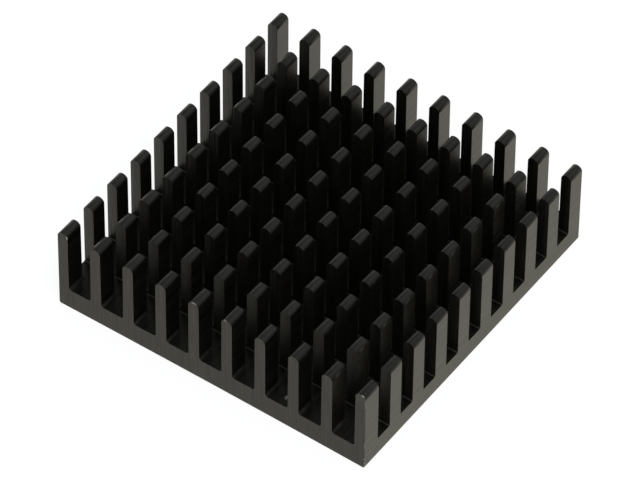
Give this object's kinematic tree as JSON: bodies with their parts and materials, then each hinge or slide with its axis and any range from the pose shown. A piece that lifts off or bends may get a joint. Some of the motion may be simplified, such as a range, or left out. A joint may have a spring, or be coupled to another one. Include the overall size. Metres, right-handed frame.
{
  "type": "heat sink",
  "caption": "Square pin-fin heat sink: a flat base with a field of upright rectangular pins that shed a chip's heat to air from any side.",
  "frame": {"origin": "middle of the underside", "axes": "+X across the fins, +Y along the extrusion, +Z from the base up the pins"},
  "size_m": [0.035, 0.0352, 0.0101],
  "materials": {
    "anodised": "black anodised, satin, fine extrusion lines along Y and saw marks on the cut faces"
  },
  "bodies": {
    "root": {"heat_sink": "anodised"}
  },
  "joints": []
}
